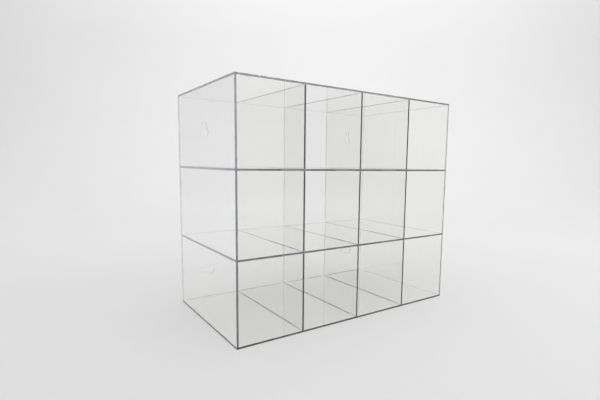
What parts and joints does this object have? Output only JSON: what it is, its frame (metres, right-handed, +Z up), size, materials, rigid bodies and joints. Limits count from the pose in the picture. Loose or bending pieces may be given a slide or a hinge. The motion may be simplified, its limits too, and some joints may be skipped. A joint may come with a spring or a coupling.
{
  "type": "eyeglasses display stand",
  "caption": "Open-fronted clear plastic case of equal compartments in rows and columns, for keeping and showing safety glasses on a bench or wall.",
  "frame": {"origin": "centre of the footprint, on the surface the stand rests on", "axes": "+Z up, the open front faces -Y, +X to the right of a person facing the front"},
  "size_m": [0.4572, 0.254, 0.3937],
  "materials": {
    "clear_sheet": "clear, polished faces, dark lilac-grey cut edges"
  },
  "bodies": {
    "root": {"bottom_panel": "clear_sheet", "top_panel": "clear_sheet", "left_side": "clear_sheet", "right_side": "clear_sheet", "back_panel": "clear_sheet", "lower_shelf": "clear_sheet", "upper_shelf": "clear_sheet", "left_divider": "clear_sheet", "middle_divider": "clear_sheet", "right_divider": "clear_sheet"}
  },
  "joints": []
}
